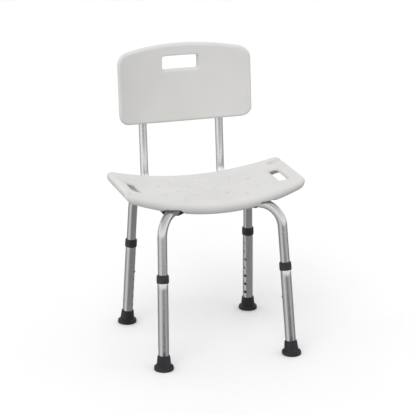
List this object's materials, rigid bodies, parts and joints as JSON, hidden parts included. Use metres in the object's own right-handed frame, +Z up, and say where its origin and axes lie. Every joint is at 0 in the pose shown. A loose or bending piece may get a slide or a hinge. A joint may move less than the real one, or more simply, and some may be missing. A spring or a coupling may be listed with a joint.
{
  "type": "shower chair",
  "caption": "Height-adjustable shower chair with a moulded seat and backrest on a knock-down aluminium tube frame with splayed, rubber-footed legs.",
  "frame": {"origin": "on the floor, under the middle of the chair's overall width and depth", "axes": "+Z up, the chair faces -Y, +X to the right of someone looking at its front"},
  "size_m": [0.4984, 0.4844, 0.7754],
  "materials": {
    "back_button_left_finish": "brushed",
    "back_button_right_finish": "brushed",
    "back_post_left_finish": "satin anodised, drawn along the tube",
    "back_post_right_finish": "satin anodised, drawn along the tube",
    "back_screw_1_finish": "zinc plated",
    "back_screw_2_finish": "zinc plated",
    "back_screw_3_finish": "zinc plated",
    "back_screw_4_finish": "zinc plated",
    "backrest_finish": "white, faintly grained, satin",
    "cross_tube_front_right_finish": "satin anodised, drawn along the tube",
    "cross_tube_main_finish": "satin anodised, drawn along the tube",
    "cross_tube_rear_left_finish": "satin anodised, drawn along the tube",
    "foot_front_left_finish": "black, dull",
    "foot_front_right_finish": "black, dull",
    "foot_rear_left_finish": "black, dull",
    "foot_rear_right_finish": "black, dull",
    "height_button_front_left_finish": "brushed",
    "height_button_front_right_finish": "brushed",
    "height_button_rear_left_finish": "brushed",
    "height_button_rear_right_finish": "brushed",
    "leg_collar_front_left_finish": "black, lightly textured",
    "leg_collar_front_right_finish": "black, lightly textured",
    "leg_collar_rear_left_finish": "black, lightly textured",
    "leg_collar_rear_right_finish": "black, lightly textured",
    "lower_leg_front_left_finish": "satin anodised, drawn along the tube",
    "lower_leg_front_right_finish": "satin anodised, drawn along the tube",
    "lower_leg_rear_left_finish": "satin anodised, drawn along the tube",
    "lower_leg_rear_right_finish": "satin anodised, drawn along the tube",
    "receiver_left_finish": "satin anodised, drawn along the tube",
    "receiver_right_finish": "satin anodised, drawn along the tube",
    "seat_finish": "white, faintly grained, satin",
    "seat_saddle_front_left_finish": "satin anodised, drawn along the tube",
    "seat_saddle_front_right_finish": "satin anodised, drawn along the tube",
    "seat_saddle_rear_left_finish": "satin anodised, drawn along the tube",
    "seat_saddle_rear_right_finish": "satin anodised, drawn along the tube",
    "seat_screw_front_left_1_finish": "zinc plated",
    "seat_screw_front_left_2_finish": "zinc plated",
    "seat_screw_front_right_1_finish": "zinc plated",
    "seat_screw_front_right_2_finish": "zinc plated",
    "seat_screw_rear_left_1_finish": "zinc plated",
    "seat_screw_rear_left_2_finish": "zinc plated",
    "seat_screw_rear_right_1_finish": "zinc plated",
    "seat_screw_rear_right_2_finish": "zinc plated",
    "socket_button_front_left_finish": "brushed",
    "socket_button_front_right_finish": "brushed",
    "socket_button_rear_left_finish": "brushed",
    "socket_button_rear_right_finish": "brushed",
    "socket_collar_front_left_finish": "black, lightly textured",
    "socket_collar_front_right_finish": "black, lightly textured",
    "socket_collar_rear_left_finish": "black, lightly textured",
    "socket_collar_rear_right_finish": "black, lightly textured",
    "underframe_plate_finish": "satin anodised, drawn along the tube",
    "upper_leg_front_left_finish": "satin anodised, drawn along the tube",
    "upper_leg_front_right_finish": "satin anodised, drawn along the tube",
    "upper_leg_rear_left_finish": "satin anodised, drawn along the tube",
    "upper_leg_rear_right_finish": "satin anodised, drawn along the tube"
  },
  "bodies": {
    "seat_frame": {"seat": "seat_finish", "cross_tube_main": "cross_tube_main_finish", "cross_tube_front_right": "cross_tube_front_right_finish", "cross_tube_rear_left": "cross_tube_rear_left_finish", "underframe_plate": "underframe_plate_finish", "receiver_left": "receiver_left_finish", "receiver_right": "receiver_right_finish", "seat_saddle_front_left": "seat_saddle_front_left_finish", "seat_screw_front_left_1": "seat_screw_front_left_1_finish", "seat_screw_front_left_2": "seat_screw_front_left_2_finish", "socket_collar_front_left": "socket_collar_front_left_finish", "seat_saddle_front_right": "seat_saddle_front_right_finish", "seat_screw_front_right_1": "seat_screw_front_right_1_finish", "seat_screw_front_right_2": "seat_screw_front_right_2_finish", "socket_collar_front_right": "socket_collar_front_right_finish", "seat_saddle_rear_left": "seat_saddle_rear_left_finish", "seat_screw_rear_left_1": "seat_screw_rear_left_1_finish", "seat_screw_rear_left_2": "seat_screw_rear_left_2_finish", "socket_collar_rear_left": "socket_collar_rear_left_finish", "seat_saddle_rear_right": "seat_saddle_rear_right_finish", "seat_screw_rear_right_1": "seat_screw_rear_right_1_finish", "seat_screw_rear_right_2": "seat_screw_rear_right_2_finish", "socket_collar_rear_right": "socket_collar_rear_right_finish"},
    "leg_front_left": {"upper_leg_front_left": "upper_leg_front_left_finish"},
    "leg_extension_front_left": {"lower_leg_front_left": "lower_leg_front_left_finish", "leg_collar_front_left": "leg_collar_front_left_finish", "foot_front_left": "foot_front_left_finish"},
    "height_snap_front_left": {"height_button_front_left": "height_button_front_left_finish"},
    "socket_snap_front_left": {"socket_button_front_left": "socket_button_front_left_finish"},
    "leg_front_right": {"upper_leg_front_right": "upper_leg_front_right_finish"},
    "leg_extension_front_right": {"lower_leg_front_right": "lower_leg_front_right_finish", "leg_collar_front_right": "leg_collar_front_right_finish", "foot_front_right": "foot_front_right_finish"},
    "height_snap_front_right": {"height_button_front_right": "height_button_front_right_finish"},
    "socket_snap_front_right": {"socket_button_front_right": "socket_button_front_right_finish"},
    "leg_rear_left": {"upper_leg_rear_left": "upper_leg_rear_left_finish"},
    "leg_extension_rear_left": {"lower_leg_rear_left": "lower_leg_rear_left_finish", "leg_collar_rear_left": "leg_collar_rear_left_finish", "foot_rear_left": "foot_rear_left_finish"},
    "height_snap_rear_left": {"height_button_rear_left": "height_button_rear_left_finish"},
    "socket_snap_rear_left": {"socket_button_rear_left": "socket_button_rear_left_finish"},
    "leg_rear_right": {"upper_leg_rear_right": "upper_leg_rear_right_finish"},
    "leg_extension_rear_right": {"lower_leg_rear_right": "lower_leg_rear_right_finish", "leg_collar_rear_right": "leg_collar_rear_right_finish", "foot_rear_right": "foot_rear_right_finish"},
    "height_snap_rear_right": {"height_button_rear_right": "height_button_rear_right_finish"},
    "socket_snap_rear_right": {"socket_button_rear_right": "socket_button_rear_right_finish"},
    "backrest_frame": {"backrest": "backrest_finish", "back_post_left": "back_post_left_finish", "back_post_right": "back_post_right_finish", "back_screw_1": "back_screw_1_finish", "back_screw_2": "back_screw_2_finish", "back_screw_3": "back_screw_3_finish", "back_screw_4": "back_screw_4_finish"},
    "back_snap_left": {"back_button_left": "back_button_left_finish"},
    "back_snap_right": {"back_button_right": "back_button_right_finish"}
  },
  "joints": [
    {"name": "leg_plug_front_left", "type": "slide", "parent": "seat_frame", "child": "leg_front_left", "axis": [-0.7717, -0.636, 0], "range_m": [0, 0.085], "deforming": ["socket_button_front_left"]},
    {"name": "leg_height_front_left", "type": "slide", "parent": "leg_front_left", "child": "leg_extension_front_left", "axis": [-0.0356, -0.1405, -0.9894], "range_m": [-0.0762, 0.0508], "deforming": ["height_button_front_left"]},
    {"name": "height_button_press_front_left", "type": "slide", "parent": "leg_front_left", "child": "height_snap_front_left", "axis": [-0.7728, -0.6238, 0.1164], "range_m": [0, 0.003], "stiffness_N_per_m": 3000, "deforming": ["height_button_front_left"]},
    {"name": "socket_button_press_front_left", "type": "slide", "parent": "leg_front_left", "child": "socket_snap_front_left", "axis": [0, 0, 1], "range_m": [0, 0.003], "stiffness_N_per_m": 3000, "deforming": ["socket_button_front_left"]},
    {"name": "leg_plug_front_right", "type": "slide", "parent": "seat_frame", "child": "leg_front_right", "axis": [0.7717, -0.636, 0], "range_m": [0, 0.085], "deforming": ["socket_button_front_right"]},
    {"name": "leg_height_front_right", "type": "slide", "parent": "leg_front_right", "child": "leg_extension_front_right", "axis": [0.0356, -0.1405, -0.9894], "range_m": [-0.0762, 0.0508], "deforming": ["height_button_front_right"]},
    {"name": "height_button_press_front_right", "type": "slide", "parent": "leg_front_right", "child": "height_snap_front_right", "axis": [0.7728, -0.6238, 0.1164], "range_m": [0, 0.003], "stiffness_N_per_m": 3000, "deforming": ["height_button_front_right"]},
    {"name": "socket_button_press_front_right", "type": "slide", "parent": "leg_front_right", "child": "socket_snap_front_right", "axis": [0, 0, 1], "range_m": [0, 0.003], "stiffness_N_per_m": 3000, "deforming": ["socket_button_front_right"]},
    {"name": "leg_plug_rear_left", "type": "slide", "parent": "seat_frame", "child": "leg_rear_left", "axis": [-0.7717, 0.636, 0], "range_m": [0, 0.085], "deforming": ["socket_button_rear_left"]},
    {"name": "leg_height_rear_left", "type": "slide", "parent": "leg_rear_left", "child": "leg_extension_rear_left", "axis": [-0.0358, 0.0856, -0.9957], "range_m": [-0.0762, 0.0508], "deforming": ["height_button_rear_left"]},
    {"name": "height_button_press_rear_left", "type": "slide", "parent": "leg_rear_left", "child": "height_snap_rear_left", "axis": [-0.7714, 0.6311, 0.082], "range_m": [0, 0.003], "stiffness_N_per_m": 3000, "deforming": ["height_button_rear_left"]},
    {"name": "socket_button_press_rear_left", "type": "slide", "parent": "leg_rear_left", "child": "socket_snap_rear_left", "axis": [0, 0, 1], "range_m": [0, 0.003], "stiffness_N_per_m": 3000, "deforming": ["socket_button_rear_left"]},
    {"name": "leg_plug_rear_right", "type": "slide", "parent": "seat_frame", "child": "leg_rear_right", "axis": [0.7717, 0.636, 0], "range_m": [0, 0.085], "deforming": ["socket_button_rear_right"]},
    {"name": "leg_height_rear_right", "type": "slide", "parent": "leg_rear_right", "child": "leg_extension_rear_right", "axis": [0.0358, 0.0856, -0.9957], "range_m": [-0.0762, 0.0508], "deforming": ["height_button_rear_right"]},
    {"name": "height_button_press_rear_right", "type": "slide", "parent": "leg_rear_right", "child": "height_snap_rear_right", "axis": [0.7714, 0.6311, 0.082], "range_m": [0, 0.003], "stiffness_N_per_m": 3000, "deforming": ["height_button_rear_right"]},
    {"name": "socket_button_press_rear_right", "type": "slide", "parent": "leg_rear_right", "child": "socket_snap_rear_right", "axis": [0, 0, 1], "range_m": [0, 0.003], "stiffness_N_per_m": 3000, "deforming": ["socket_button_rear_right"]},
    {"name": "backrest_plug", "type": "slide", "parent": "seat_frame", "child": "backrest_frame", "axis": [0, 1, 0], "range_m": [0, 0.11], "deforming": ["back_button_left", "back_button_right"]},
    {"name": "back_button_press_left", "type": "slide", "parent": "backrest_frame", "child": "back_snap_left", "axis": [0, 0, 1], "range_m": [0, 0.003], "stiffness_N_per_m": 3000, "deforming": ["back_button_left"]},
    {"name": "back_button_press_right", "type": "slide", "parent": "backrest_frame", "child": "back_snap_right", "axis": [0, 0, 1], "range_m": [0, 0.003], "stiffness_N_per_m": 3000, "deforming": ["back_button_right"]}
  ]
}
